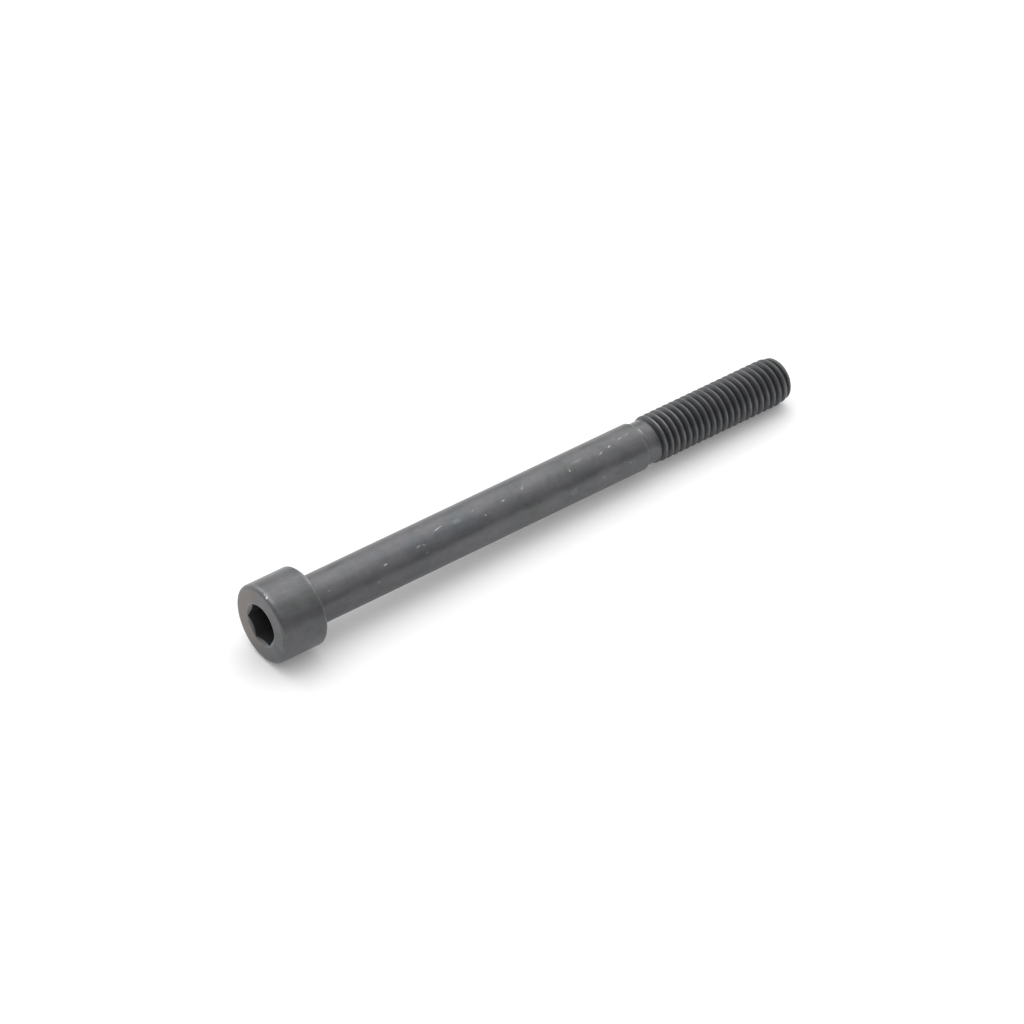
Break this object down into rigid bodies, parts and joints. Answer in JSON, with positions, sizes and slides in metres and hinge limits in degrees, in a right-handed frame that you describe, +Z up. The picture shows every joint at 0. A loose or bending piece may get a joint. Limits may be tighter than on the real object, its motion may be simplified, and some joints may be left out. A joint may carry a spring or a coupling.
{
  "type": "hex socket cap screw",
  "caption": "Part-threaded steel socket screw with a cylindrical head, hexagonal recess, long plain shank and coarse right-hand thread, lying on its side.",
  "frame": {"origin": "on the surface that the screw lies on, under the middle of its box", "axes": "+X from the head towards the tip, +Z up from the surface; the screw's own axis dips 1.56 degrees from +X towards the tip, because it lies on the rim of its head and on its last full thread crest"},
  "size_m": [0.1032, 0.013, 0.0132],
  "materials": {
    "black_oxide": "satin black oxide over steel, lightly oiled, with small bright scratches"
  },
  "bodies": {
    "root": {"cap_screw": "black_oxide"}
  },
  "joints": []
}
